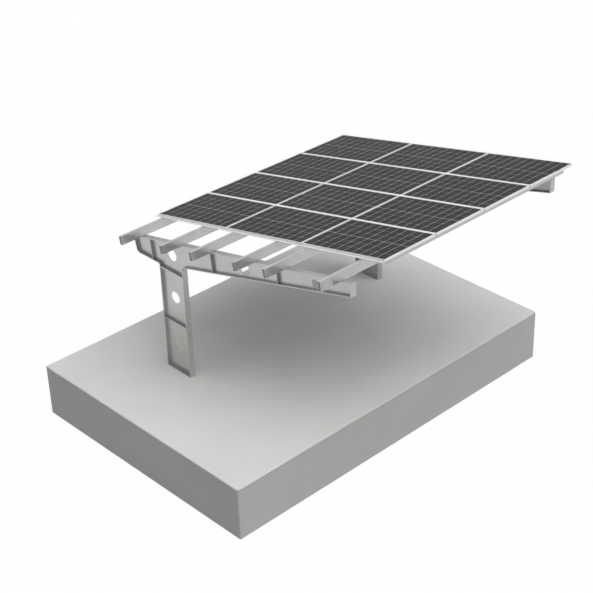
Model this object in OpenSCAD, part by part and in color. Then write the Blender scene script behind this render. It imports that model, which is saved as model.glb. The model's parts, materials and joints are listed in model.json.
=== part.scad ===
// Solar carport: a cantilever canopy of twelve solar panels on two steel frames.
// The frames stand on a concrete foundation block, and six purlins carry the panels.
// X runs across the parking bay towards the canopy's high edge, and Y runs along the purlins.
// The origin is the middle of the foundation block's underside.

/* [Foundation block] */
// Width of the block, across the parking bay
block_w = 4590; // [4200:10:6000]
// Length of the block, along the purlins
block_l = 6690; // [6400:10:8000]
// Height of the block
block_h = 894; // [500:2:1200]
// Chamfer along the block's top and upright edges
block_chamfer = 12; // [4:1:40]

/* [Columns] */
// Distance from the block's front face to the middle of the front frame
front_frame_inset = 1420; // [1000:10:1700]
// Distance between the two frames, middle to middle
frame_spacing = 4242; // [3600:2:4300]
// Distance from the block's low side to the columns
column_inset = 1380; // [900:10:1800]
// Depth of a column, over its flanges
column_depth = 550; // [450:5:620]
// Height of the bolted splice above the block
splice_h = 1805; // [1760:5:1830]
// Thickness of the column's base plate
base_plate_t = 20; // [12:1:30]
// Height of the stiffener in the middle of the column
column_stiffener_h = 905; // [850:5:960]
// Height of the lower hole in the column's web
lower_hole_h = 498; // [400:2:600]
// Height of the upper hole in the column's web
upper_hole_h = 1340; // [1250:5:1450]
// Diameter of the large holes in the webs
web_hole_d = 200; // [100:5:220]

/* [Beams] */
// Width of the flanges and end plates
flange_w = 100; // [96:1:130]
// Thickness of the flanges and end plates
flange_t = 12; // [8:1:14]
// Thickness of the web
web_t = 8; // [6:1:12]
// Thickness of the web stiffeners
stiffener_t = 10; // [6:1:12]
// How far the stiffeners stop short of the flange edges
stiffener_setback = 4; // [2:1:8]
// How far the roof's high edge stands out past the beam's tip
tip_overhang = 145; // [60:1:260]
// Reach of the beam's tail behind the column's low side
tail_reach = 598; // [560:1:640]
// Upright depth of the beam where it leaves the column's high side
beam_root_depth = 390; // [360:1:420]
// Upright depth of the beam at its tip
beam_tip_depth = 218; // [200:1:260]
// Height of the tail's underside above the splice
haunch_h = 50; // [46:1:60]
// Radius of the tail's lower corner
tail_r = 75; // [40:1:100]
// Radius of the bend over the column's low side
haunch_r = 30; // [20:1:32]
// Radius of the bend over the column's high side
root_r = 60; // [30:1:80]
// Distance from the column's low side out to the tail's stiffener
tail_stiffener = 182; // [120:2:260]
// Distance of the middle stiffener past the low side of the third purlin
middle_stiffener = 13; // [0:1:30]
// Distance from the last stiffener to the low side of the fifth purlin
last_stiffener = 150; // [90:1:240]
// Lean of the beam stiffeners from upright
stiffener_lean = 6; // [0:1:12]
// Diameter of the small hole near the beam's tip
tip_hole_d = 130; // [60:5:150]
// How far the outer web holes lie below mid-depth
web_hole_drop = 28; // [0:1:30]

/* [Roof] */
// Slope of the roof in degrees
roof_tilt = 12.5; // [11:0.5:14]
// Height of the roof's low edge above the block
low_edge_h = 2317; // [2300:1:2360]
// Distance from the column's low side out to the roof's low edge
low_edge_reach = 578; // [540:1:620]
// Distance from the front frame back to the front edge of the panels
panel_setback = 440; // [400:5:480]

/* [Purlins] */
// Width of a purlin
purlin_w = 60; // [50:1:80]
// Height of a purlin
purlin_h = 140; // [110:1:145]
// Wall thickness of a purlin
purlin_wall = 4; // [3:0.5:6]
// Corner radius of a purlin
purlin_r = 8; // [6.5:0.5:12]
// How far the purlins stand out in front of the front frame
purlin_overhang = 415; // [300:5:600]
// How far the purlins stop short of the last panel's edge
purlin_end_inset = 5; // [0:1:8]
// Distance of the first purlin from the low edge of the panels over it
purlin_1_in = 96; // [80:1:140]
// Distance of the second purlin from the low edge of the panels over it
purlin_2_in = 1113; // [1000:1:1200]
// Distance of the third purlin from the low edge of the panels over it
purlin_3_in = 144; // [100:1:240]
// Distance of the fourth purlin from the low edge of the panels over it
purlin_4_in = 1122; // [1000:1:1200]
// Distance of the fifth purlin from the low edge of the panels over it
purlin_5_in = 104; // [80:1:220]
// Distance of the sixth purlin from the low edge of the panels over it
purlin_6_in = 1218; // [1100:1:1300]
// How far the end caps sit inside the purlins
cap_recess = 30; // [28:1:60]
// Depth of an end cap's skirt
cap_depth = 20; // [10:1:40]

/* [Panels] */
// Length of a panel, up the slope
panel_l = 1650; // [1640:1:1660]
// Width of a panel, along the purlins
panel_w = 1000; // [990:1:1010]
// Height of a panel's frame
panel_h = 35; // [32:1:40]
// Gap between neighbouring panels
panel_gap = 20; // [18:1:24]
// Wall thickness of the panel frame
rail_t = 2; // [1.5:0.1:2.5]
// Width of the frame's lip over the glass
lip_w = 11; // [10:0.5:13]
// Thickness of the lip
lip_t = 1.6; // [1.2:0.1:2.2]
// Width of the ledge under the glass
ledge_w = 9; // [7:0.5:11]
// Width of the frame's foot
foot_w = 28; // [26:1:34]
// Thickness of the glass
glass_t = 3.2; // [2.5:0.1:4]
// Side of a solar cell
cell_size = 156; // [150:0.5:158]
// Thickness of a solar cell
cell_t = 0.3; // [0.2:0.1:0.6]
// Thickness of the sheet behind the cells
back_sheet_t = 1.4; // [1:0.1:2]
// Distance from a panel's edge to its first cell
cell_margin = 16; // [14:0.5:18]

/* [Trims] */
// Height of the bar and pads between the purlins and the panels
pad_t = 10; // [6:1:14]
// Width of the bar under the panels' front edge
front_bar_w = 40; // [36:1:50]
// How far the front bar stands out past the roof's low edge
front_bar_reach = 58; // [20:1:90]
// Width of the high edge trim's upper leg
trim_leg_w = 30; // [26:1:36]
// Height of the high edge trim's hanging leg
trim_drop = 42; // [30:1:60]
// Thickness of the high edge trim
trim_t = 3; // [2:0.5:4]
// How far the high edge trim stops short of the back corner
trim_short = 220; // [100:5:280]
// Width of the strips that cover the joints between panels
joint_cap_w = 36; // [32:1:40]
// Thickness of the joint strips
joint_cap_t = 2; // [1.5:0.1:3]
// Depth of the joint strips' legs
joint_leg_h = 16; // [10:1:22]

/* [Fasteners] */
// Diameter of the splice bolts
splice_bolt_d = 16; // [12:1:18]
// Distance of the outer splice bolts from the column's faces
splice_bolt_edge = 70; // [60:1:90]
// Distance between the splice bolts on either side of the web
splice_bolt_gauge = 54; // [52:1:56]
// Diameter of the studs under the base plates
stud_d = 19; // [12:1:22]
// Length of the studs under the base plates
stud_l = 150; // [80:5:200]
// Diameter of the cleat bolts
cleat_bolt_d = 12; // [8:1:14]
// Distance between a cleat's two bolts
cleat_bolt_gauge = 56; // [50:1:58]
// Size of both legs of a purlin cleat
cleat_leg = 60; // [56:1:75]
// Thickness of a purlin cleat
cleat_t = 6; // [4:1:8]
// Length of a purlin cleat
cleat_l = 80; // [76:1:90]
// Diameter of the self-drilling screws
screw_d = 6.3; // [4.8:0.1:6.6]
// Distance of the panel screws from a panel's edge
screw_edge = 15; // [14:0.5:17]
// Diameter of the trim rivets
rivet_d = 4.8; // [3.2:0.1:5.2]

/* [Junction boxes] */
// Size of a junction box up the slope
box_l = 75; // [60:1:100]
// Size of a junction box along the purlins
box_w = 120; // [90:1:140]
// Height of a junction box
box_h = 20; // [14:1:22]
// Distance of a junction box from the panel's high edge
box_edge = 110; // [80:1:140]
// Diameter of the connector sockets
socket_d = 12; // [8:1:13]
// Length of the connector sockets
socket_l = 18; // [10:1:24]

/* [Hidden] */
$fn = 32;

// Overshoot of a cutter past the face that it opens
cut = 1;
// Clearance of a bolt or stud in its hole, on the radius
hole_gap = 0.3;
// Clearance of a self-drilling screw in the steel that it bites, on the radius
thread_gap = 0.05;
// Clearance of a piece that drops into a channel, on each side
fit_gap = 0.3;
// Bonding layer above and below the cells
bond_t = 0.15;

// Panels, cells and frames in their rows
panel_columns = 3;
panel_rows = 4;
cells_long = 10;
cells_wide = 6;
// Segments along each bend of a flange
bend_steps = 8;

steel = [0.72, 0.73, 0.73];
concrete = [0.74, 0.74, 0.73];
aluminium = [0.86, 0.87, 0.88];
zinc = [0.62, 0.63, 0.64];
black = [0.09, 0.09, 0.10];
cell_blue = [0.17, 0.19, 0.24];
glass = [0.30, 0.33, 0.38];

// Places on the plan
column_x = -block_w / 2 + column_inset;
front_y = -block_l / 2 + front_frame_inset;
back_y = front_y + frame_spacing;
frames_y = [front_y, back_y];
array_y = front_y + panel_setback;
array_l = panel_columns * panel_l + (panel_columns - 1) * panel_gap;
array_w = panel_rows * panel_w + (panel_rows - 1) * panel_gap;
array_back_y = array_y + array_w;
purlin_front_y = front_y - purlin_overhang;
purlin_back_y = array_back_y - purlin_end_inset;
purlin_in = [purlin_1_in, purlin_2_in, purlin_3_in, purlin_4_in, purlin_5_in, purlin_6_in];
purlin_ids = [0:len(purlin_in) - 1];
purlin_at = [for (i = purlin_ids) panel_s(floor(i / 2)) + purlin_in[i]];

// Levels square to the roof, below the panels' top face
bar_top = -panel_h;
purlin_top = bar_top - pad_t;
beam_top = purlin_top - purlin_h;
lip_bottom = -lip_t;
glass_top = lip_bottom - bond_t;
cell_top = glass_top - glass_t - bond_t;
sheet_top = cell_top - cell_t;
ledge_top = sheet_top - back_sheet_t;
foot_top = -panel_h + rail_t;

// The roof's low edge, and the upright line of the beam's top face
roof_x = column_x - low_edge_reach;
roof_z = block_h + low_edge_h;
function beam_top_z(x) = roof_z + (x - roof_x) * tan(roof_tilt) + beam_top / cos(roof_tilt);

// Corners of the beam's outline in the upright plane, from the splice round to the tail
high_x = column_x + column_depth;
tip_x = roof_x + array_l * cos(roof_tilt) - tip_overhang;
tail_x = column_x - tail_reach;
splice_z = block_h + splice_h;
tail_z = splice_z + haunch_h;
root_z = beam_top_z(high_x) - beam_root_depth;
tip_z = beam_top_z(tip_x) - beam_tip_depth;
tail_foot_x = tail_x + (beam_top_z(tail_x) - tail_z) * tan(roof_tilt);
BEAM = [
    [column_x, splice_z], [high_x, splice_z], [high_x, root_z], [tip_x, tip_z],
    [tip_x, beam_top_z(tip_x)], [tail_x, beam_top_z(tail_x)], [tail_foot_x, tail_z], [column_x, tail_z]
];
BEAM_R = [0, 0, root_r, 0, 0, 0, tail_r, haunch_r];

// Stiffeners along the beam, and holes halfway between them
function purlin_foot_x(i) = roof_x + purlin_at[i] * cos(roof_tilt) - beam_top * sin(roof_tilt);
stiffener_x = [
    column_x - tail_stiffener, purlin_foot_x(2) + middle_stiffener, purlin_foot_x(4) - last_stiffener
];
outer_hole_x = (stiffener_x[2] + tip_x) / 2;
middle_hole_x = (stiffener_x[1] + stiffener_x[2]) / 2;
inner_hole_x = column_x + column_depth / 2;
function beam_foot_z(x) = root_z + (x - high_x) * (tip_z - root_z) / (tip_x - high_x);
function beam_mid_z(x) = (beam_top_z(x) + (x > high_x ? beam_foot_z(x) : tail_z)) / 2;

// Unit vectors along a step, and the turn from one step to the next
function unit(v) = v / norm(v);
function turn(u, v) = atan2(u.x * v.y - u.y * v.x, u * v);
function left(u) = [-u.y, u.x];
function spin(v, a) = [v.x * cos(a) - v.y * sin(a), v.x * sin(a) + v.y * cos(a)];
function before(p, i) = p[(i + len(p) - 1) % len(p)];
function after(p, i) = p[(i + 1) % len(p)];

// The outline moved inwards by d, with every side parallel to its own
function inset(p, d) = [
    for (i = [0:len(p) - 1])
        let (n = left(unit(p[i] - before(p, i))), m = left(unit(after(p, i) - p[i])))
        p[i] + d * (n + m) / (1 + n * m)
];

// A radius moved inwards by d: bends that point out shrink, and bends that point in grow
function inset_radii(p, r, d) = [
    for (i = [0:len(p) - 1])
        r[i] == 0 ? 0 : r[i] - d * sign(turn(p[i] - before(p, i), after(p, i) - p[i]))
];

// The outline with an arc of the given radius at each corner
function rounded(p, r, steps = bend_steps) = [
    for (i = [0:len(p) - 1])
        let (
            u = unit(p[i] - before(p, i)),
            a = turn(u, unit(after(p, i) - p[i])),
            out = -sign(a) * left(u) * r[i],
            centre = p[i] - u * r[i] * tan(abs(a) / 2) - out
        )
        for (k = [0:r[i] == 0 ? 0 : steps])
            r[i] == 0 ? p[i] : centre + spin(out, a * k / steps)
];

function box_corners(w, h) = [[0, 0], [w, 0], [w, h], [0, h]];
function four(r) = [r, r, r, r];

// Places the roof's own frame: X up the slope, Z square to the panels
module on_roof() {
    translate([roof_x, 0, roof_z])
        rotate([0, -roof_tilt, 0])
            children();
}

// Extrudes an outline drawn in the upright plane, centred on y
module upright(y, width) {
    translate([0, y + width / 2, 0])
        rotate([90, 0, 0])
            linear_extrude(width)
                children();
}

// Extrudes a section drawn square to the purlins, from one y to another
module along_y(from_y, to_y) {
    translate([0, to_y, 0])
        rotate([90, 0, 0])
            linear_extrude(to_y - from_y)
                children();
}

// Six-sided head or nut, across its flats, standing on z = 0
module hex(flats, height) {
    cylinder(h = height, d = flats / cos(30), $fn = 6);
}

// Tightened bolt: head above the grip, nut below it, with the grip's top at z = 0
module bolt_set(d, grip) {
    head_h = 0.65 * d;
    nut_h = 0.8 * d;
    flats = 1.5 * d;
    end = 0.35 * d;
    hex(flats, head_h);
    translate([0, 0, -grip - nut_h])
        hex(flats, nut_h);
    translate([0, 0, -grip - nut_h - end])
        cylinder(h = grip + nut_h + end + head_h / 2, d = d);
}

// Self-drilling screw with a hex washer head, whose seat is at z = 0
module drill_screw(grip) {
    washer_t = 0.2 * screw_d;
    washer_d = 2.2 * screw_d;
    head_h = 0.9 * screw_d;
    flats = 1.5 * screw_d;
    point_l = 2 * screw_d;
    point_d = 0.3 * screw_d;
    cylinder(h = washer_t, d = washer_d);
    hex(flats, head_h);
    translate([0, 0, -grip])
        cylinder(h = grip + washer_t, d = screw_d);
    translate([0, 0, -grip - point_l])
        cylinder(h = point_l, d1 = point_d, d2 = screw_d);
}

// Places of the studs and of the splice bolts, seen from above
stud_x = [for (i = [0:2]) column_x + splice_bolt_edge + i * (column_depth / 2 - splice_bolt_edge)];
stud_head_d = 1.7 * stud_d;
stud_head_t = 0.5 * stud_d;

module at_splice_bolts(y) {
    for (x = stud_x, side = [-1, 1])
        translate([x, y + side * splice_bolt_gauge / 2, splice_z])
            children();
}

module at_studs(y) {
    for (x = stud_x, side = [-1, 1])
        translate([x, y + side * splice_bolt_gauge / 2, block_h])
            children();
}

// Headed stud that hangs down from z = 0, with its shank carried on above by a rise
module stud(gap, rise) {
    translate([0, 0, -stud_l - gap])
        cylinder(h = stud_l + gap + rise, d = stud_d + 2 * gap);
    translate([0, 0, -stud_l - gap])
        cylinder(h = stud_head_t + 2 * gap, d = stud_head_d + 2 * gap);
}

module foundation_block() {
    c = block_chamfer;
    side = block_h - c;
    color(concrete)
        difference() {
            intersection() {
                translate([-block_w / 2, -block_l / 2, 0])
                    linear_extrude(block_h)
                        polygon(rounded(box_corners(block_w, block_l), four(c), 1));
                translate([0, block_l / 2, 0])
                    rotate([90, 0, 0])
                        linear_extrude(block_l)
                            polygon([
                                [-block_w / 2, 0], [block_w / 2, 0], [block_w / 2, side],
                                [block_w / 2 - c, block_h], [-block_w / 2 + c, block_h], [-block_w / 2, side]
                            ]);
                translate([-block_w / 2, 0, 0])
                    rotate([90, 0, 90])
                        linear_extrude(block_w)
                            polygon([
                                [-block_l / 2, 0], [block_l / 2, 0], [block_l / 2, side],
                                [block_l / 2 - c, block_h], [-block_l / 2 + c, block_h], [-block_l / 2, side]
                            ]);
            }
            for (y = frames_y)
                at_studs(y)
                    stud(hole_gap, cut);
        }
}

// Welded column: two flanges, a web with two holes, a stiffener, a cap plate and a base plate
module column(y) {
    outline = [[column_x, block_h], [high_x, block_h], [high_x, splice_z], [column_x, splice_z]];
    inner_w = column_depth - 2 * flange_t;
    color(steel) {
        difference() {
            union() {
                difference() {
                    upright(y, flange_w)
                        polygon(outline);
                    translate([
                        column_x + flange_t, y - flange_w / 2 - cut, block_h + base_plate_t
                    ])
                        cube([inner_w, flange_w + 2 * cut, splice_h - base_plate_t - flange_t]);
                }
                upright(y, web_t)
                    polygon(outline);
                translate([
                    column_x + flange_t / 2, y - flange_w / 2 + stiffener_setback,
                    block_h + column_stiffener_h - stiffener_t / 2
                ])
                    cube([column_depth - flange_t, flange_w - 2 * stiffener_setback, stiffener_t]);
                at_studs(y)
                    stud(0, base_plate_t / 2);
            }
            for (h = [lower_hole_h, upper_hole_h])
                web_hole(inner_hole_x, y, block_h + h, web_hole_d);
            at_splice_bolts(y)
                translate([0, 0, -flange_t - cut])
                    cylinder(h = flange_t + 2 * cut, d = splice_bolt_d + 2 * hole_gap);
        }
    }
}

module web_hole(x, y, z, d) {
    translate([x, y + web_t, z])
        rotate([90, 0, 0])
            cylinder(h = 2 * web_t, d = d, $fn = 64);
}

// Welded beam: one bent flange all round a tapered web, with three stiffeners and three web holes
module beam(y) {
    inner = inset(BEAM, flange_t);
    inner_r = inset_radii(BEAM, BEAM_R, flange_t);
    color(steel)
        difference() {
            union() {
                difference() {
                    upright(y, flange_w)
                        polygon(rounded(BEAM, BEAM_R));
                    upright(y, flange_w + 2 * cut)
                        polygon(rounded(inner, inner_r));
                }
                upright(y, web_t)
                    polygon(rounded(BEAM, BEAM_R));
                intersection() {
                    upright(y, flange_w - 2 * stiffener_setback)
                        polygon(rounded(BEAM, BEAM_R));
                    for (x = stiffener_x)
                        translate([x, y, beam_mid_z(x)])
                            rotate([0, -stiffener_lean, 0])
                                cube([stiffener_t, flange_w, 2 * (tip_z - splice_z)], center = true);
                }
            }
            web_hole(inner_hole_x, y, beam_mid_z(inner_hole_x), web_hole_d);
            web_hole(middle_hole_x, y, beam_mid_z(middle_hole_x) - web_hole_drop, web_hole_d);
            web_hole(outer_hole_x, y, beam_mid_z(outer_hole_x) - web_hole_drop, tip_hole_d);
            at_splice_bolts(y)
                translate([0, 0, -cut])
                    cylinder(h = flange_t + 2 * cut, d = splice_bolt_d + 2 * hole_gap);
            on_roof()
                at_cleat_bolts(y)
                    translate([0, 0, -flange_t - cut])
                        cylinder(h = flange_t + 2 * cut, d = cleat_bolt_d + 2 * hole_gap);
        }
}

module splice_bolts() {
    color(zinc)
        for (y = frames_y)
            at_splice_bolts(y)
                translate([0, 0, flange_t])
                    bolt_set(splice_bolt_d, 2 * flange_t);
}

// The cleat bolts pass the middle of a cleat's lower leg, on the beam's top face
module at_cleat_bolts(y) {
    for (s = purlin_at, side = [-1, 1])
        translate([s - (cleat_leg + cleat_t) / 2, y + side * cleat_bolt_gauge / 2, beam_top])
            children();
}

// The cleat screws pass the middle of a cleat's upper leg into the purlin's low side
module at_cleat_screws(s, y) {
    for (side = [-1, 1])
        translate([s, y + side * cleat_bolt_gauge / 2, beam_top + (cleat_leg + cleat_t) / 2])
            rotate([0, -90, 0])
                children();
}

// The panel screws pass each long rail's foot where it crosses a purlin
function purlin_mid(i) = purlin_at[i] + purlin_w / 2;
function panel_y(row) = array_y + row * (panel_w + panel_gap);
function panel_s(column) = column * (panel_l + panel_gap);
function screw_ys() = [
    for (row = [0:panel_rows - 1])
        each [panel_y(row) + screw_edge, panel_y(row) + panel_w - screw_edge]
];

// Rolled hollow section with holes for the panel screws and for the cleat screws
module purlin(i) {
    inner_w = purlin_w - 2 * purlin_wall;
    inner_h = purlin_h - 2 * purlin_wall;
    color(steel)
        on_roof()
            difference() {
                translate([purlin_at[i], 0, beam_top])
                    difference() {
                        along_y(purlin_front_y, purlin_back_y)
                            polygon(rounded(box_corners(purlin_w, purlin_h), four(purlin_r), 4));
                        translate([purlin_wall, 0, purlin_wall])
                            along_y(purlin_front_y - cut, purlin_back_y + cut)
                                polygon(rounded(box_corners(inner_w, inner_h), four(purlin_r - purlin_wall), 4));
                    }
                for (y = screw_ys())
                    translate([purlin_mid(i), y, purlin_top - purlin_wall - cut])
                        cylinder(h = purlin_wall + 2 * cut, d = screw_d + 2 * thread_gap);
                for (y = frames_y)
                    at_cleat_screws(purlin_at[i], y)
                        translate([0, 0, -purlin_wall - cut])
                            cylinder(h = purlin_wall + 2 * cut, d = screw_d + 2 * thread_gap);
            }
}

// Plug with a skirt that reaches into the purlin, drawn with its face at y = 0 and its skirt behind
module purlin_cap() {
    w = purlin_w - 2 * purlin_wall - 2 * fit_gap;
    h = purlin_h - 2 * purlin_wall - 2 * fit_gap;
    skirt_t = 3;
    corner = purlin_r - purlin_wall;
    difference() {
        translate([-w / 2, 0, -h / 2])
            along_y(0, cap_depth)
                polygon(rounded(box_corners(w, h), four(corner), 4));
        translate([-w / 2 + skirt_t, 0, -h / 2 + skirt_t])
            along_y(skirt_t, cap_depth + cut)
                polygon(box_corners(w - 2 * skirt_t, h - 2 * skirt_t));
    }
}

module purlin_caps() {
    color(steel)
        on_roof()
            for (i = purlin_ids)
                translate([purlin_mid(i), 0, beam_top + purlin_h / 2]) {
                    translate([0, purlin_front_y + cap_recess, 0])
                        purlin_cap();
                    translate([0, purlin_back_y - cap_recess, 0])
                        mirror([0, 1, 0])
                            purlin_cap();
                }
}

// Angle cleats on the low side of each purlin, one at each frame
module purlin_cleats() {
    color(zinc)
        on_roof()
            difference() {
                for (s = purlin_at, y = frames_y)
                    translate([s, 0, beam_top])
                        along_y(y - cleat_l / 2, y + cleat_l / 2)
                            polygon([
                                [-cleat_leg, 0], [0, 0], [0, cleat_leg], [-cleat_t, cleat_leg],
                                [-cleat_t, cleat_t], [-cleat_leg, cleat_t]
                            ]);
                for (y = frames_y) {
                    at_cleat_bolts(y)
                        translate([0, 0, -cut])
                            cylinder(h = cleat_t + 2 * cut, d = cleat_bolt_d + 2 * hole_gap);
                    for (s = purlin_at)
                        at_cleat_screws(s, y)
                            translate([0, 0, -cut])
                                cylinder(h = cleat_t + 2 * cut, d = screw_d + 2 * hole_gap);
                }
            }
}

module cleat_bolts() {
    color(zinc)
        on_roof()
            for (y = frames_y)
                at_cleat_bolts(y)
                    translate([0, 0, cleat_t])
                        bolt_set(cleat_bolt_d, cleat_t + flange_t);
}

module cleat_screws() {
    color(zinc)
        on_roof()
            for (s = purlin_at, y = frames_y)
                at_cleat_screws(s, y)
                    translate([0, 0, cleat_t])
                        drill_screw(cleat_t + purlin_wall);
}

// Flat bar under the panels' front edge, across the tops of the purlins
module front_edge_bar() {
    color(aluminium)
        on_roof()
            difference() {
                translate([-front_bar_reach, array_y, purlin_top])
                    cube([array_l - trim_leg_w - fit_gap + front_bar_reach, front_bar_w, pad_t]);
                for (i = purlin_ids)
                    translate([purlin_mid(i), array_y + screw_edge, purlin_top - cut])
                        cylinder(h = pad_t + 2 * cut, d = screw_d + 2 * hole_gap);
            }
}

// Strips along the purlins that carry the panels at the front bar's level
module panel_pads() {
    color(black)
        on_roof()
            difference() {
                for (s = purlin_at)
                    translate([s, array_y + front_bar_w + fit_gap, purlin_top])
                        cube([
                            purlin_w, purlin_back_y - array_y - front_bar_w - fit_gap, pad_t
                        ]);
                for (i = purlin_ids, y = screw_ys())
                    translate([purlin_mid(i), y, purlin_top - cut])
                        cylinder(h = pad_t + 2 * cut, d = screw_d + 2 * hole_gap);
            }
}

module panel_screws() {
    color(zinc)
        on_roof()
            for (i = purlin_ids, y = screw_ys())
                translate([purlin_mid(i), y, foot_top])
                    drill_screw(rail_t + pad_t + purlin_wall);
}

// Rivets hold the trim to the foot of the high rails, two to a panel
rivet_share = [0.25, 0.7];
module at_rivets() {
    for (row = [0:panel_rows - 1], share = rivet_share)
        translate([array_l - trim_leg_w / 2, panel_y(row) + share * panel_w, bar_top])
            children();
}

// Angle that hangs under the panels along the roof's high edge
module high_edge_trim() {
    color(zinc)
        on_roof()
            difference() {
                translate([array_l, 0, bar_top])
                    along_y(array_y, array_back_y - trim_short)
                        polygon([
                            [-trim_leg_w, 0], [-trim_leg_w, -trim_t], [-trim_t, -trim_t],
                            [-trim_t, -trim_drop], [0, -trim_drop], [0, 0]
                        ]);
                at_rivets()
                    translate([0, 0, -trim_t - cut])
                        cylinder(h = trim_t + 2 * cut, d = rivet_d + 2 * hole_gap);
            }
}

module trim_rivets() {
    head_t = 1.5;
    color(aluminium)
        on_roof()
            at_rivets() {
                translate([0, 0, -trim_t - head_t])
                    cylinder(h = head_t, d = 2 * rivet_d);
                translate([0, 0, -trim_t - head_t / 2])
                    cylinder(h = trim_t + rail_t + head_t, d = rivet_d);
                translate([0, 0, rail_t])
                    cylinder(h = head_t, d = 1.5 * rivet_d);
            }
}

// Section of a joint strip: a cap on the panels' lips and two legs down into the gap
module joint_section() {
    half = panel_gap / 2 - fit_gap;
    leg_t = 2;
    polygon([
        [-joint_cap_w / 2, 0], [-half, 0], [-half, -joint_leg_h], [-half + leg_t, -joint_leg_h],
        [-half + leg_t, 0], [half - leg_t, 0], [half - leg_t, -joint_leg_h], [half, -joint_leg_h],
        [half, 0], [joint_cap_w / 2, 0], [joint_cap_w / 2, joint_cap_t], [-joint_cap_w / 2, joint_cap_t]
    ]);
}

// Long strips run up the slope, and short ones fill the joints between them
module joint_strips() {
    overlap = (joint_cap_w - panel_gap) / 2 + fit_gap;
    color(aluminium)
        on_roof() {
            for (row = [1:panel_rows - 1])
                translate([0, panel_y(row) - panel_gap / 2, 0])
                    rotate([90, 0, 90])
                        linear_extrude(array_l)
                            joint_section();
            for (column = [1:panel_columns - 1], row = [0:panel_rows - 1])
                translate([panel_s(column) - panel_gap / 2, 0, 0])
                    along_y(
                        panel_y(row) + (row > 0 ? overlap : 0),
                        panel_y(row) + panel_w - (row < panel_rows - 1 ? overlap : 0)
                    )
                        joint_section();
        }
}

// One box under each panel, with two sockets that face the low edge
module junction_boxes() {
    lid_t = 3;
    lid_step = 4;
    corner = 10;
    color(black)
        on_roof()
            for (column = [0:panel_columns - 1], row = [0:panel_rows - 1])
                translate([
                    panel_s(column) + panel_l - box_edge - box_l, panel_y(row) + (panel_w - box_w) / 2,
                    ledge_top - box_h
                ]) {
                    translate([0, 0, lid_t])
                        linear_extrude(box_h - lid_t)
                            polygon(rounded(box_corners(box_l, box_w), four(corner), 4));
                    translate([lid_step, lid_step, 0])
                        linear_extrude(lid_t)
                            polygon(rounded(
                                box_corners(box_l - 2 * lid_step, box_w - 2 * lid_step),
                                four(corner - lid_step), 4
                            ));
                    for (side = [1, 3])
                        translate([-socket_l, side * box_w / 4, (box_h + lid_t) / 2])
                            rotate([0, 90, 0])
                                cylinder(h = socket_l + lid_t, d = socket_d);
                }
}

// Section of a panel rail: x runs inwards from the outer face, and y = 0 is the top
module rail_section() {
    polygon([
        [0, -panel_h], [foot_w, -panel_h], [foot_w, foot_top], [rail_t, foot_top],
        [rail_t, ledge_top - rail_t], [ledge_w, ledge_top - rail_t], [ledge_w, ledge_top],
        [rail_t, ledge_top], [rail_t, lip_bottom], [lip_w, lip_bottom], [lip_w, 0], [0, 0]
    ]);
}

// Rail with mitred ends along X, with its outer face on y = 0
module rail(length) {
    intersection() {
        rotate([90, 0, 90])
            linear_extrude(length)
                rail_section();
        translate([0, 0, -panel_h])
            linear_extrude(panel_h)
                polygon([[0, 0], [length, 0], [length - foot_w, foot_w], [foot_w, foot_w]]);
    }
}

// Four mitred rails round a panel, with holes where screws and rivets pass their feet
module panel_frame(column, row) {
    color(aluminium)
        on_roof()
            difference() {
                translate([panel_s(column), panel_y(row), 0]) {
                    rail(panel_l);
                    translate([panel_l, panel_w, 0])
                        rotate([0, 0, 180])
                            rail(panel_l);
                    translate([panel_l, 0, 0])
                        rotate([0, 0, 90])
                            rail(panel_w);
                    translate([0, panel_w, 0])
                        rotate([0, 0, -90])
                            rail(panel_w);
                }
                for (i = [2 * column, 2 * column + 1], y = [screw_edge, panel_w - screw_edge])
                    translate([purlin_mid(i), panel_y(row) + y, -panel_h - cut])
                        cylinder(h = rail_t + 2 * cut, d = screw_d + 2 * hole_gap);
                if (column == panel_columns - 1)
                    at_rivets()
                        translate([0, 0, -cut])
                            cylinder(h = rail_t + 2 * cut, d = rivet_d + 2 * hole_gap);
            }
}

// Back sheet with the panel's cells standing on it in even rows
module panel_cells(column, row) {
    edge = rail_t + fit_gap;
    pitch_l = (panel_l - 2 * cell_margin) / cells_long;
    pitch_w = (panel_w - 2 * cell_margin) / cells_wide;
    color(cell_blue)
        on_roof()
            translate([panel_s(column), panel_y(row), 0]) {
                translate([edge, edge, ledge_top])
                    cube([panel_l - 2 * edge, panel_w - 2 * edge, back_sheet_t]);
                for (i = [0:cells_long - 1], k = [0:cells_wide - 1])
                    translate([
                        cell_margin + i * pitch_l + (pitch_l - cell_size) / 2,
                        cell_margin + k * pitch_w + (pitch_w - cell_size) / 2, sheet_top - cell_t
                    ])
                        cube([cell_size, cell_size, 2 * cell_t]);
            }
}

module panel_glass(column, row) {
    edge = rail_t + fit_gap;
    color(glass)
        on_roof()
            translate([panel_s(column) + edge, panel_y(row) + edge, glass_top - glass_t])
                cube([panel_l - 2 * edge, panel_w - 2 * edge, glass_t]);
}

foundation_block();
column(front_y);  // column_front
column(back_y);  // column_back
beam(front_y);  // beam_front
beam(back_y);  // beam_back
splice_bolts();
purlin(0);  // purlin_1
purlin(1);  // purlin_2
purlin(2);  // purlin_3
purlin(3);  // purlin_4
purlin(4);  // purlin_5
purlin(5);  // purlin_6
purlin_caps();
purlin_cleats();
cleat_bolts();
cleat_screws();
front_edge_bar();
panel_pads();
panel_screws();
high_edge_trim();
trim_rivets();
joint_strips();
junction_boxes();
panel_frame(0, 0);  // panel_frame_a1
panel_frame(0, 1);  // panel_frame_a2
panel_frame(0, 2);  // panel_frame_a3
panel_frame(0, 3);  // panel_frame_a4
panel_frame(1, 0);  // panel_frame_b1
panel_frame(1, 1);  // panel_frame_b2
panel_frame(1, 2);  // panel_frame_b3
panel_frame(1, 3);  // panel_frame_b4
panel_frame(2, 0);  // panel_frame_c1
panel_frame(2, 1);  // panel_frame_c2
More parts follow.
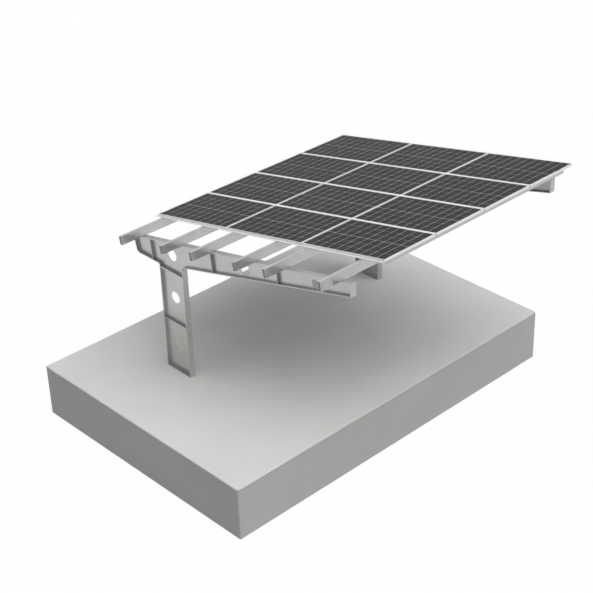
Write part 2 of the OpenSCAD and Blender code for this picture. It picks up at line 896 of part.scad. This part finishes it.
panel_frame(2, 2);  // panel_frame_c3
panel_frame(2, 3);  // panel_frame_c4
panel_cells(0, 0);  // panel_cells_a1
panel_cells(0, 1);  // panel_cells_a2
panel_cells(0, 2);  // panel_cells_a3
panel_cells(0, 3);  // panel_cells_a4
panel_cells(1, 0);  // panel_cells_b1
panel_cells(1, 1);  // panel_cells_b2
panel_cells(1, 2);  // panel_cells_b3
panel_cells(1, 3);  // panel_cells_b4
panel_cells(2, 0);  // panel_cells_c1
panel_cells(2, 1);  // panel_cells_c2
panel_cells(2, 2);  // panel_cells_c3
panel_cells(2, 3);  // panel_cells_c4
panel_glass(0, 0);  // panel_glass_a1
panel_glass(0, 1);  // panel_glass_a2
panel_glass(0, 2);  // panel_glass_a3
panel_glass(0, 3);  // panel_glass_a4
panel_glass(1, 0);  // panel_glass_b1
panel_glass(1, 1);  // panel_glass_b2
panel_glass(1, 2);  // panel_glass_b3
panel_glass(1, 3);  // panel_glass_b4
panel_glass(2, 0);  // panel_glass_c1
panel_glass(2, 1);  // panel_glass_c2
panel_glass(2, 2);  // panel_glass_c3
panel_glass(2, 3);  // panel_glass_c4
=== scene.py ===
import json
import math
import bpy
import numpy as np
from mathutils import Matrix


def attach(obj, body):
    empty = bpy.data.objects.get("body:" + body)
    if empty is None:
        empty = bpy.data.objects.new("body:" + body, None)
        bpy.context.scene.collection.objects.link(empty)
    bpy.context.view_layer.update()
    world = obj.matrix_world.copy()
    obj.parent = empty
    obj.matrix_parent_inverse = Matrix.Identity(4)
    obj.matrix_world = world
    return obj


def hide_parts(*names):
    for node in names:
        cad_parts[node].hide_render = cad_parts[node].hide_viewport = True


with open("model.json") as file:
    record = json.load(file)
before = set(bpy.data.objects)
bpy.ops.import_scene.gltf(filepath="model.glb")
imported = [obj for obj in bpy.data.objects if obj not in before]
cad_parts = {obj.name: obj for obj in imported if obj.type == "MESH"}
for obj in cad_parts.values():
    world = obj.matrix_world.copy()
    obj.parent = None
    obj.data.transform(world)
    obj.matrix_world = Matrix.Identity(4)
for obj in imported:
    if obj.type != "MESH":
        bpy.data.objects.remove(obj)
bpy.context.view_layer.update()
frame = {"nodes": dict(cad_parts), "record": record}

scene = bpy.context.scene
nodes = frame["nodes"]

# The roof's own directions: up the slope (s), along the purlins (y) and square to the panels (n)
roof = {"lowX": -1.493, "lowZ": 3.211, "tilt": 12.5}
tiltAngle = math.radians(roof["tilt"])


def roofPoints(s, y, n):  # (lowX + s cos - n sin, y, lowZ + s sin + n cos) with the roof's tilt
    s, y, n = np.broadcast_arrays(np.asarray(s, float), np.asarray(y, float), np.asarray(n, float))
    x = roof["lowX"] + s * math.cos(tiltAngle) - n * math.sin(tiltAngle)
    z = roof["lowZ"] + s * math.sin(tiltAngle) + n * math.cos(tiltAngle)
    return np.stack([x, y, z], axis=-1)


# Twelve panels in three columns up the slope and four rows along y, with their cells.
# The joint strips' material and the nose strip read them too.
panels = {"columns": 3, "rows": 4, "length": 1.650, "width": 1.000, "gap": 0.020, "firstY": -1.485,
          "sheetInset": 0.0023, "sheetLow": -0.0068, "sheetHigh": -0.0054, "cellHigh": -0.0051,
          "ribbonHigh": -0.00502, "cellsLong": 10, "cellsWide": 6, "cellLong": 0.156, "cellWide": 0.159,
          "gapLong": 0.0058, "gapWide": 0.0022, "gapMiddle": 0.0052, "clip": 0.006, "ribbons": 5,
          "ribbonWide": 0.0012, "shadeSeed": 100}

# Camera at the photograph's angle, whose own middle lies away from the picture's middle
view = {"place": (15.3243, -13.9753, 14.0517), "yaw": 2.3350, "pitch": -0.5385, "focal": 1496.2,
        "pictureSize": 593, "middle": (383.0, 296.3), "sensor": 36, "clipEnd": 200}
cameraData = bpy.data.cameras.new("photoCamera")
camera = bpy.data.objects.new("photoCamera", cameraData)
scene.collection.objects.link(camera)
camera.location = view["place"]
camera.rotation_euler = (math.pi / 2 + view["pitch"], 0, view["yaw"] - math.pi / 2)
cameraData.sensor_width = view["sensor"]
cameraData.lens = view["focal"] / view["pictureSize"] * view["sensor"]
cameraData.shift_x = (view["pictureSize"] / 2 - view["middle"][0]) / view["pictureSize"]
cameraData.shift_y = (view["middle"][1] - view["pictureSize"] / 2) / view["pictureSize"]
cameraData.clip_end = view["clipEnd"]
scene.camera = camera
print("camera placed")


# Node helpers. Every pattern reads Object coordinates.
def plug(tree, node, values):  # each named socket gets its value, or a link from another node's socket
    for name, value in values.items():
        if hasattr(value, "links"):
            tree.links.new(value, node.inputs[name])
        else:
            node.inputs[name].default_value = value


def addNode(tree, kind, values=None, **settings):
    made = tree.nodes.new(kind)
    for name, value in settings.items():
        setattr(made, name, value)
    plug(tree, made, values or {})
    return made


def emptyTree(owner, outputKind="ShaderNodeOutputMaterial"):
    owner.use_nodes = True
    owner.node_tree.nodes.clear()
    return owner.node_tree, addNode(owner.node_tree, outputKind)


def newMaterial(name):
    material = bpy.data.materials.new(name)
    tree, output = emptyTree(material)
    shader = addNode(tree, "ShaderNodeBsdfPrincipled")
    plug(tree, output, {"Surface": shader.outputs[0]})
    return material, tree, shader


def objectSpace(tree, scale=(1, 1, 1)):
    place = addNode(tree, "ShaderNodeTexCoord").outputs["Object"]
    values = {"Vector": place, "Scale": scale}
    return addNode(tree, "ShaderNodeMapping", values, vector_type="POINT").outputs[0]


def noise(tree, place, scale, detail, roughness=0.5):
    values = {"Vector": place, "Scale": scale, "Detail": detail, "Roughness": roughness}
    return addNode(tree, "ShaderNodeTexNoise", values).outputs["Fac"]


def voronoi(tree, place, scale, result):
    return addNode(tree, "ShaderNodeTexVoronoi", {"Vector": place, "Scale": scale}).outputs[result]


def grey(level):
    return (level, level, level, 1)


def shaded(colour, factor):
    return tuple(min(1, part * factor) for part in colour)


def ramp(tree, value, places, levels=(0.0, 1.0)):  # grey, from the first place's level to the second's
    made = addNode(tree, "ShaderNodeValToRGB", {"Fac": value})
    for element, place, level in zip(made.color_ramp.elements, places, levels):
        element.position = place
        element.color = grey(level)
    return made.outputs["Color"]


def spread(tree, value, low, high):  # maps 0..1 to low..high
    values = {"Value": value, "To Min": low, "To Max": high}
    return addNode(tree, "ShaderNodeMapRange", values).outputs["Result"]


def bump(tree, height, distance, strength):
    values = {"Height": height, "Distance": distance, "Strength": strength}
    return addNode(tree, "ShaderNodeBump", values).outputs["Normal"]


def mixColour(tree, share, first, second, kind="MIX"):
    first, second = ((*colour, 1) if isinstance(colour, tuple) else colour for colour in (first, second))
    values = {"Factor": share, "A": first, "B": second}
    return addNode(tree, "ShaderNodeMix", values, data_type="RGBA", blend_type=kind).outputs["Result"]


def calculate(tree, operation, *values):
    return addNode(tree, "ShaderNodeMath", dict(enumerate(values)), operation=operation).outputs[0]


def along(tree, vector, direction):  # how far the vector reaches along a direction
    made = addNode(tree, "ShaderNodeVectorMath", {0: vector, 1: direction}, operation="DOT_PRODUCT")
    return made.outputs["Value"]


def mixShader(tree, share, first, second):
    return addNode(tree, "ShaderNodeMixShader", {0: share, 1: first, 2: second}).outputs[0]


# In every look a noise is its scale and detail, and its roughness where that isn't 0.5, a bump is its
# distance and strength, a mask the two places where it begins and ends, and rough the lowest and
# highest roughness
concreteLook = {"pale": (0.66, 0.663, 0.648), "dark": (0.615, 0.618, 0.604), "roughness": 0.85,
                "clouds": (0.9, 6, 0.6), "cloudMask": (0.3, 0.7),
                "grain": (160, 3, 0.6), "grainMask": (0.3, 0.7), "grainLevels": (0.76, 1.0),
                "grainShare": 0.18, "grainHeight": 0.35,
                "poreScale": 55, "poreMask": (0.0, 0.09), "poreShare": 0.25,
                "closed": (9, 2), "closedMask": (0.56, 0.66), "bump": (0.0008, 0.6)}


def concreteMaterial():  # clouds and fine grain, with small pores where a wide noise leaves the skin open
    look = concreteLook
    material, tree, shader = newMaterial("castConcrete")
    place = objectSpace(tree)
    clouds = ramp(tree, noise(tree, place, *look["clouds"]), look["cloudMask"])
    grain = noise(tree, place, *look["grain"])
    grainShade = ramp(tree, grain, look["grainMask"], look["grainLevels"])
    pores = ramp(tree, voronoi(tree, place, look["poreScale"], "Distance"), look["poreMask"])
    closed = ramp(tree, noise(tree, place, *look["closed"]), look["closedMask"], (1.0, 0.0))
    skin = calculate(tree, "MAXIMUM", pores, closed)
    base = mixColour(tree, clouds, look["dark"], look["pale"])
    base = mixColour(tree, look["grainShare"], base, grainShade, "MULTIPLY")
    base = mixColour(tree, look["poreShare"], base, skin, "MULTIPLY")
    height = calculate(tree, "ADD", calculate(tree, "MULTIPLY", grain, look["grainHeight"]), skin)
    plug(tree, shader, {"Base Color": base, "Roughness": look["roughness"],
                        "Normal": bump(tree, height, *look["bump"])})
    return material


steelLook = {"colour": (0.62, 0.622, 0.612), "contrast": 0.03, "rough": (0.28, 0.33), "metallic": 0.92,
             "clouds": (3.2, 5, 0.55), "cloudMask": (0.35, 0.65), "peel": (90, 2), "bump": (0.0001, 0.12)}
purlinLook = {**steelLook, "colour": (0.78, 0.782, 0.77), "rough": (0.16, 0.22)}
trimLook = {**steelLook, "colour": (0.62, 0.622, 0.615), "metallic": 0.5}


def steelMaterial(name, look):  # faint clouds in the coat's tone and gloss, over orange peel
    material, tree, shader = newMaterial(name)
    place = objectSpace(tree)
    clouds = noise(tree, place, *look["clouds"])
    peel = noise(tree, place, *look["peel"])
    low, high = (shaded(look["colour"], 1 + sign * look["contrast"]) for sign in (-1, 1))
    base = mixColour(tree, ramp(tree, clouds, look["cloudMask"]), low, high)
    plug(tree, shader, {"Base Color": base, "Metallic": look["metallic"],
                        "Roughness": spread(tree, clouds, *look["rough"]),
                        "Normal": bump(tree, peel, *look["bump"])})
    return material


zincLook = {"dark": (0.50, 0.51, 0.52), "pale": (0.66, 0.67, 0.68), "rough": (0.3, 0.45), "metallic": 0.9,
            "spangle": 140, "spangleMask": (0.2, 0.8), "grain": (400, 2), "bump": (0.0002, 0.3)}


def zincMaterial():  # spangle: each crystal with its own tone and gloss
    look = zincLook
    material, tree, shader = newMaterial("zincPlate")
    place = objectSpace(tree)
    grain = noise(tree, place, *look["grain"])
    shade = ramp(tree, voronoi(tree, place, look["spangle"], "Color"), look["spangleMask"])
    plug(tree, shader, {"Base Color": mixColour(tree, shade, look["dark"], look["pale"]),
                        "Metallic": look["metallic"], "Roughness": spread(tree, shade, *look["rough"]),
                        "Normal": bump(tree, grain, *look["bump"])})
    return material


# lipFrom is where the strips' dark rubber lips begin, and crossing half the width of the strips across them
aluminiumLook = {"colour": (0.97, 0.97, 0.965), "shade": 0.96, "rough": (0.3, 0.38), "metallic": 0.12,
                 "drawScale": (6, 6, 900), "draw": (1.0, 3, 0.6), "clouds": (5, 3), "bump": (0.0001, 0.3)}
stripLook = {**aluminiumLook, "colour": (0.98, 0.98, 0.975), "rough": (0.45, 0.55), "metallic": 0.0,
             "lip": (0.03, 0.03, 0.03), "lipFrom": 0.0125, "crossing": 0.0195}


def lipMask(tree):  # 1 further than lipFrom from the middle of a joint along y, clear of the strips across it
    upSlope, alongY = (math.cos(tiltAngle), 0, math.sin(tiltAngle)), (0, 1, 0)
    joints = ((upSlope, roofPoints(0, 0, 0) @ upSlope, panels["length"], stripLook["lipFrom"]),
              (alongY, panels["firstY"], panels["width"], stripLook["crossing"]))
    masks = []
    for direction, start, size, limit in joints:
        place = along(tree, objectSpace(tree), direction)
        fromJoint = calculate(tree, "SUBTRACT", place, float(start) - panels["gap"] / 2)
        away = calculate(tree, "PINGPONG", fromJoint, (size + panels["gap"]) / 2)
        masks.append(calculate(tree, "GREATER_THAN", away, limit))
    return calculate(tree, "MULTIPLY", *masks)


def aluminiumMaterial(name, look):  # fine draw lines of the die, over wide faint clouds in the gloss
    material, tree, shader = newMaterial(name)
    lines = noise(tree, objectSpace(tree, look["drawScale"]), *look["draw"])
    clouds = noise(tree, objectSpace(tree), *look["clouds"])
    base = mixColour(tree, lines, shaded(look["colour"], look["shade"]), look["colour"])
    if "lip" in look:
        base = mixColour(tree, lipMask(tree), base, look["lip"])
    plug(tree, shader, {"Base Color": base, "Metallic": look["metallic"],
                        "Roughness": spread(tree, clouds, *look["rough"]),
                        "Normal": bump(tree, lines, *look["bump"])})
    return material


# Each moulded finish is its name, colour, roughness and specular level. The back sheet and the ribbons
# lie in clear film, with no air over them, so their level is low.
mouldedLooks = {"cap": ("capPlastic", (0.84, 0.84, 0.84), 0.3, 0.5),
                "pad": ("padRubber", (0.03, 0.03, 0.033), 0.7, 0.5),
                "junction_box": ("boxPlastic", (0.022, 0.022, 0.025), 0.48, 0.5),
                "sheet": ("backSheet", (0.81, 0.81, 0.80), 0.55, 0.05),
                "ribbon": ("tinnedRibbon", (0.14, 0.14, 0.14), 0.45, 0.05)}
mouldedSkin = {"clouds": (14, 3), "shade": 0.88, "grain": (700, 2), "roughSpread": 0.06,
               "bump": (0.0002, 0.5)}


def mouldedMaterial(name, colour, roughness, specular):  # faint clouds, and a fine grain in gloss and height
    skin = mouldedSkin
    material, tree, shader = newMaterial(name)
    place = objectSpace(tree)
    grain = noise(tree, place, *skin["grain"])
    clouds = noise(tree, place, *skin["clouds"])
    rough = spread(tree, grain, roughness - skin["roughSpread"], roughness + skin["roughSpread"])
    plug(tree, shader, {"Base Color": mixColour(tree, clouds, shaded(colour, skin["shade"]), colour),
                        "Roughness": rough, "Specular IOR Level": specular,
                        "Normal": bump(tree, grain, *skin["bump"])})
    return material


glassLook = {"shine": (0.96, 0.96, 0.95, 1), "roughness": 0.2, "coating": 0.21, "index": 1.45,
             "texture": (500, 2), "bump": (0.0002, 0.4)}


def glassMaterial():  # clear, with a mirror's share of Fresnel * coating, and none on an inner side
    look = glassLook
    material = bpy.data.materials.new("temperedGlass")
    tree, output = emptyTree(material)
    texture = noise(tree, objectSpace(tree), *look["texture"])
    clear = addNode(tree, "ShaderNodeBsdfTransparent")
    shine = addNode(tree, "ShaderNodeBsdfPrincipled", {
        "Base Color": look["shine"], "Metallic": 1.0, "Roughness": look["roughness"],
        "Normal": bump(tree, texture, *look["bump"])})
    fresnel = addNode(tree, "ShaderNodeFresnel", {"IOR": look["index"]}).outputs[0]
    inner = addNode(tree, "ShaderNodeNewGeometry").outputs["Backfacing"]
    coated = calculate(tree, "MULTIPLY", calculate(tree, "SUBTRACT", 1.0, inner), look["coating"])
    share = calculate(tree, "MULTIPLY", fresnel, coated)
    plug(tree, output, {"Surface": mixShader(tree, share, clear.outputs[0], shine.outputs[0])})
    return material


cellLook = {"dark": (0.008, 0.008, 0.0085), "pale": (0.022, 0.022, 0.0225), "roughness": 0.45,
            "specular": 0.05, "ownShare": 0.6, "cloudShare": 0.4, "clouds": (6, 4, 0.6), "grain": (900, 2),
            "bump": (0.00005, 0.3)}


def cellMaterial():  # dark silicon: own attribute * ownShare + clouds * cloudShare, from dark to pale
    look = cellLook
    material, tree, shader = newMaterial("solarCell")
    place = objectSpace(tree)
    own = addNode(tree, "ShaderNodeAttribute", attribute_name="cellShade").outputs["Fac"]
    clouds = noise(tree, place, *look["clouds"])
    grain = noise(tree, place, *look["grain"])
    shade = calculate(tree, "ADD", calculate(tree, "MULTIPLY", own, look["ownShare"]),
                      calculate(tree, "MULTIPLY", clouds, look["cloudShare"]))
    plug(tree, shader, {"Base Color": mixColour(tree, shade, look["dark"], look["pale"]),
                        "Roughness": look["roughness"], "Specular IOR Level": look["specular"],
                        "Normal": bump(tree, grain, *look["bump"])})
    return material


weldLook = {"colour": (0.5, 0.502, 0.494), "shade": 0.85, "metallic": 0.85, "rough": (0.3, 0.42),
            "ripples": {"Scale": 110, "Distortion": 2.5, "Detail": 2, "Detail Scale": 0.3},
            "clouds": (40, 3), "bump": (0.0008, 0.6)}


def weldMaterial():  # the frames' coat over a bead: ripples in bands, bent by noise
    look = weldLook
    material, tree, shader = newMaterial("weldBead")
    place = objectSpace(tree)
    ripples = addNode(tree, "ShaderNodeTexWave", {"Vector": place, **look["ripples"]},
                      bands_direction="DIAGONAL").outputs["Fac"]
    clouds = noise(tree, place, *look["clouds"])
    base = mixColour(tree, clouds, shaded(look["colour"], look["shade"]), look["colour"])
    plug(tree, shader, {"Base Color": base, "Metallic": look["metallic"],
                        "Roughness": spread(tree, clouds, *look["rough"]),
                        "Normal": bump(tree, ripples, *look["bump"])})
    return material


finishes = {
    "concrete": concreteMaterial(),
    "steel": steelMaterial("coatedSteel", steelLook),
    "purlin": steelMaterial("galvanisedTube", purlinLook),
    "trim": steelMaterial("trimSteel", trimLook),
    "weld": weldMaterial(),
    "zinc": zincMaterial(),
    "aluminium": aluminiumMaterial("anodisedAluminium", aluminiumLook),
    "strip": aluminiumMaterial("paleStrip", stripLook),
    "cell": cellMaterial(),
    "glass": glassMaterial(),
    **{slot: mouldedMaterial(*look) for slot, look in mouldedLooks.items()},
}
finishOf = {row["node"]: row["material_slot"] for row in frame["record"]["subparts"]}
finishOf["joint_strips"] = "strip"
finishOf.update({name: "purlin" for name in nodes if name.startswith("purlin_") and name[-1].isdigit()})
for name, piece in nodes.items():
    piece.data.materials.clear()
    piece.data.materials.append(finishes[finishOf[name]])
print("finishes on", len(nodes), "nodes")


def addPiece(name, points, faces, materials, kinds=None, replaced=(), slotName=None):
    mesh = bpy.data.meshes.new(name)
    mesh.from_pydata(points.tolist(), [], faces)
    for material in materials:
        mesh.materials.append(material)
    if kinds is not None:
        mesh.polygons.foreach_set("material_index", np.asarray(kinds, np.int32))
    mesh.update()
    piece = bpy.data.objects.new(name, mesh)
    scene.collection.objects.link(piece)
    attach(piece, "root")
    if replaced:
        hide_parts(*replaced)
    return piece


# Closed prisms between two sets of outlines, with a quad for each side
def prisms(lower, upper, firstPoint=0):
    count, corners = lower.shape[:2]
    points = np.concatenate([lower, upper], axis=1).reshape(-1, 3)
    ring = np.arange(corners)
    after = (ring + 1) % corners
    base = firstPoint + 2 * corners * np.arange(count)[:, None]
    tops = base + corners + ring
    bottoms = base + ring[::-1]
    sides = base[..., None] + np.stack([ring, after, after + corners, ring + corners], axis=-1)
    return points, tops.tolist() + bottoms.tolist() + sides.reshape(-1, 4).tolist()


# Solar cells: a white back sheet, cells with clipped corners, and flat ribbons along the slope.
# Each outline (s, y) is a shape moved by its index * (size + gap), and reaches between two heights n.
def cellField(column, row):
    p = panels
    s0, y0 = column * (p["length"] + p["gap"]), p["firstY"] + row * (p["width"] + p["gap"])
    long, wide, clip = p["cellLong"], p["cellWide"], p["clip"]
    longStart = (p["length"] - p["cellsLong"] * long - (p["cellsLong"] - 1) * p["gapLong"]) / 2
    s = s0 + longStart + np.arange(p["cellsLong"]) * (long + p["gapLong"])
    steps = np.full(p["cellsWide"], wide + p["gapWide"])
    steps[p["cellsWide"] // 2] += p["gapMiddle"] - p["gapWide"]
    y = np.cumsum(steps) - steps[0]
    y = y0 + (p["width"] - y[-1] - wide) / 2 + y
    cellCorners = np.array([(clip, 0), (long - clip, 0), (long, clip), (long, wide - clip),
                            (long - clip, wide), (clip, wide), (0, wide - clip), (0, clip)])
    cells = np.stack(np.meshgrid(s, y, indexing="ij"), axis=-1).reshape(-1, 1, 2)
    oblong = np.array([(0, 0), (1, 0), (1, 1), (0, 1)])
    ribbonSize = np.array([s[-1] + long - s[0], p["ribbonWide"]])
    across = (np.arange(p["ribbons"]) + 0.5) * wide / p["ribbons"] - p["ribbonWide"] / 2
    ribbonY = (y[:, None] + across).ravel()
    ribbons = np.stack([np.full(ribbonY.shape, s[0]), ribbonY], axis=-1)[:, None]
    inset = p["sheetInset"]
    sheet = np.array([s0 + inset, y0 + inset]) + oblong * (p["length"] - 2 * inset, p["width"] - 2 * inset)
    layers = ((sheet[None], "sheetLow", "sheetHigh"), (cells + cellCorners, "sheetHigh", "cellHigh"),
              (ribbons + oblong * ribbonSize, "cellHigh", "ribbonHigh"))
    points, faces, kinds = np.empty((0, 3)), [], []
    for kind, (outlines, *levels) in enumerate(layers):
        ends = [roofPoints(outlines[..., 0], outlines[..., 1], p[level]) for level in levels]
        newPoints, newFaces = prisms(*ends, firstPoint=len(points))
        points = np.concatenate([points, newPoints])
        faces += newFaces
        kinds += [kind] * len(newFaces)
    name = "abc"[column] + str(row + 1)
    materials = [finishes[kind] for kind in ("sheet", "cell", "ribbon")]
    piece = addPiece("cell_field_" + name, points, faces, materials, kinds, ["panel_cells_" + name], "cell")
    # One shade for each cell, on its top, its underside and all its sides
    shade = np.random.default_rng(p["shadeSeed"] + 10 * column + row).random(len(cells))
    values = np.zeros(len(faces), np.float32)
    values[np.array(kinds) == 1] = np.concatenate([shade, shade, np.repeat(shade, len(cellCorners))])
    piece.data.attributes.new("cellShade", "FLOAT", "FACE").data.foreach_set("value", values)


for column in range(panels["columns"]):
    for row in range(panels["rows"]):
        cellField(column, row)
print("solar cells laid")


# Nose strip in front of the bar under the panels' front edge, on top of the purlins
nose = {"from": -0.058, "to": 4.9595, "wide": 0.021, "low": -0.045, "high": -0.035, "round": 0.003,
        "steps": 4}


def noseStrip():  # outline (y, n) run along s; its front corner is (front + r - r sin t, high - r + r cos t)
    back, front, radius = panels["firstY"], panels["firstY"] - nose["wide"], nose["round"]
    quarter = np.linspace(0, math.pi / 2, nose["steps"] + 1)
    upper = np.stack([front + radius - radius * np.sin(quarter),
                      nose["high"] - radius + radius * np.cos(quarter)], axis=-1)
    lower = np.stack([upper[::-1, 0], nose["low"] + nose["high"] - upper[::-1, 1]], axis=-1)
    outline = np.concatenate([[(back, nose["low"]), (back, nose["high"])], upper, lower])
    ends = [roofPoints(nose[end], outline[:, 0], outline[:, 1])[None] for end in ("from", "to")]
    addPiece("front_edge_nose", *prisms(*ends), [finishes["aluminium"]], slotName="aluminium")


noseStrip()
print("nose strip laid")


# Weld beads along every hollow corner where the frames' plates meet, higher than above. Corner points that
# agree to the given decimals are one, and squareness is the largest cosine between two plates.
welds = {"leg": 0.006, "bulge": 0.12, "sink": 0.0003, "above": 0.9, "squareness": 0.5, "decimals": 5,
         "steps": 4}


def hollowCorners(mesh):  # the edges between two faces that meet in a hollow corner, with both faces' normals
    mesh.calc_loop_triangles()

    def read(items, name, kind):
        values = np.empty(3 * len(items), kind)
        items.foreach_get(name, values)
        return values.reshape(-1, 3)

    points = read(mesh.vertices, "co", np.float32)
    corners = read(mesh.loop_triangles, "vertices", np.int32)
    normals = read(mesh.loop_triangles, "normal", np.float32)
    rounded = np.round(points, welds["decimals"])
    _, first, same = np.unique(rounded, axis=0, return_index=True, return_inverse=True)
    points, corners = points[first].astype(float), same.reshape(-1)[corners]
    ends = np.sort(np.stack([corners, np.roll(corners, -1, axis=1)], axis=-1).reshape(-1, 2), axis=1)
    order = np.lexsort((ends[:, 1], ends[:, 0]))
    pair = np.flatnonzero((ends[order[1:]] == ends[order[:-1]]).all(axis=1))
    left, right = order[pair] // 3, order[pair + 1] // 3
    start, end = points[ends[order[pair], 0]], points[ends[order[pair], 1]]
    square = np.abs((normals[left] * normals[right]).sum(axis=1)) < welds["squareness"]
    toRight = points[corners[right]].mean(axis=1) - start
    hollow = (toRight * normals[left]).sum(axis=1) > welds["sink"]
    kept = square & hollow & (np.minimum(start[:, 2], end[:, 2]) > welds["above"])
    return start[kept], end[kept], normals[left[kept]], normals[right[kept]]


# A bead's section is the corner and leg * ((1 - t + b) first + (t + b) second), b = 4 bulge t (1 - t),
# where first and second are the two plates' normals
def weldBeads(name):
    start, end, left, right = hollowCorners(nodes[name].data)
    turned = ((np.cross(left, right) * (end - start)).sum(axis=1) < 0)[:, None]
    first = np.where(turned, right, left)[:, None]
    second = np.where(turned, left, right)[:, None]
    t = np.linspace(0, 1, welds["steps"] + 1)[:, None]
    b = welds["bulge"] * 4 * t * (1 - t)
    face = welds["leg"] * ((1 - t + b) * first + (t + b) * second)
    section = np.concatenate([np.zeros_like(first), face], axis=1) - welds["sink"] * (first + second)
    bead = prisms(start[:, None] + section, end[:, None] + section)
    addPiece("welds_" + name, *bead, [finishes["weld"]], slotName="steel")
    return len(start)


beadCounts = [weldBeads(name) for name in ("column_front", "column_back", "beam_front", "beam_back")]
print("weld beads", beadCounts)


# Studio: pale floor and a soft sky of a few wide glows, the strongest ones high over the roof's high edge.
# Metal mirrors a sky of its own, and a floor whose level changes from cardFrom to cardTo metres towards
# the camera. A glow is its height and compass angle in degrees, its tightness and its strength.
studio = {"floorSize": 120, "floorSeen": 0.955, "floorPale": 0.04, "floorShade": 0.08,
          "floorMirrored": (0.8, 0.36), "cardFrom": 4.2, "cardTo": 6.0, "backdrop": 0.995,
          "skyEven": 0.035, "mirroredEven": 0.22}
skyGlows = [(50, 14, 14, 4.8), (72, 350, 14, 3.9), (65, 215, 10, 0.8), (42, 45, 7, 0.55), (20, 247, 7, 1.1),
            (8, 225, 7, 0.45)]
mirroredGlows = [(12, 141, 5, 0.6), (60, 0, 5, 0.6), (0, 40, 5, 0.85), (-8, 225, 7, 0.4)]


def glowSum(tree, glows, even):  # even + sum of strength * exp(tightness * (direction . middle - 1))
    direction = addNode(tree, "ShaderNodeTexCoord").outputs["Generated"]
    total = even
    for height, compass, tightness, strength in glows:
        h, c = math.radians(height), math.radians(compass)
        middle = (math.cos(h) * math.cos(c), math.cos(h) * math.sin(c), math.sin(h))
        below = calculate(tree, "SUBTRACT", along(tree, direction, middle), 1.0)
        fall = calculate(tree, "EXPONENT", calculate(tree, "MULTIPLY", below, tightness))
        total = calculate(tree, "ADD", calculate(tree, "MULTIPLY", fall, strength), total)
    return total


def chooseByRay(tree, output, lit, mirrored, seen):  # mirrored for glossy rays, seen for the camera's own
    path = addNode(tree, "ShaderNodeLightPath").outputs
    chosen = mixShader(tree, path["Is Glossy Ray"], lit.outputs[0], mirrored.outputs[0])
    chosen = mixShader(tree, path["Is Camera Ray"], chosen, seen.outputs[0])
    plug(tree, output, {"Surface": chosen})


floorMesh = bpy.data.meshes.new("studioFloor")
half = studio["floorSize"] / 2
floorCorners = [(-half, -half, 0), (half, -half, 0), (half, half, 0), (-half, half, 0)]
floorMesh.from_pydata(floorCorners, [], [(0, 1, 2, 3)])
floor = bpy.data.objects.new("studioFloor", floorMesh)
scene.collection.objects.link(floor)
floorMaterial = bpy.data.materials.new("paleFloor")
floorMesh.materials.append(floorMaterial)
tree, output = emptyTree(floorMaterial)
viewCompass = view["yaw"] + math.pi
towardsView = along(tree, objectSpace(tree), (math.cos(viewCompass), math.sin(viewCompass), 0))
card = addNode(tree, "ShaderNodeMapRange", {
    "Value": towardsView, "From Min": studio["cardFrom"], "From Max": studio["cardTo"],
    "To Min": studio["floorMirrored"][0], "To Max": studio["floorMirrored"][1]},
    interpolation_type="SMOOTHSTEP").outputs["Result"]
glow = addNode(tree, "ShaderNodeEmission", {"Strength": studio["floorSeen"]})
pale = addNode(tree, "ShaderNodeBsdfDiffuse", {"Color": grey(studio["floorPale"])})
seen = addNode(tree, "ShaderNodeAddShader", {0: glow.outputs[0], 1: pale.outputs[0]})
lit = addNode(tree, "ShaderNodeBsdfDiffuse", {"Color": grey(studio["floorShade"])})
mirrored = addNode(tree, "ShaderNodeEmission", {"Strength": card})
chooseByRay(tree, output, lit, mirrored, seen)
floorMaterial.cycles.emission_sampling = "NONE"

world = bpy.data.worlds.new("studioSky")
scene.world = world
tree, output = emptyTree(world, "ShaderNodeOutputWorld")
lit = addNode(tree, "ShaderNodeBackground", {"Strength": glowSum(tree, skyGlows, studio["skyEven"])})
mirroredStrength = glowSum(tree, mirroredGlows, studio["mirroredEven"])
mirrored = addNode(tree, "ShaderNodeBackground", {"Strength": mirroredStrength})
seen = addNode(tree, "ShaderNodeBackground", {"Color": grey(studio["backdrop"])})
chooseByRay(tree, output, lit, mirrored, seen)
world.cycles.sampling_method = "NONE"

scene.view_settings.view_transform = "Standard"
scene.view_settings.look = "None"
print("studio set")
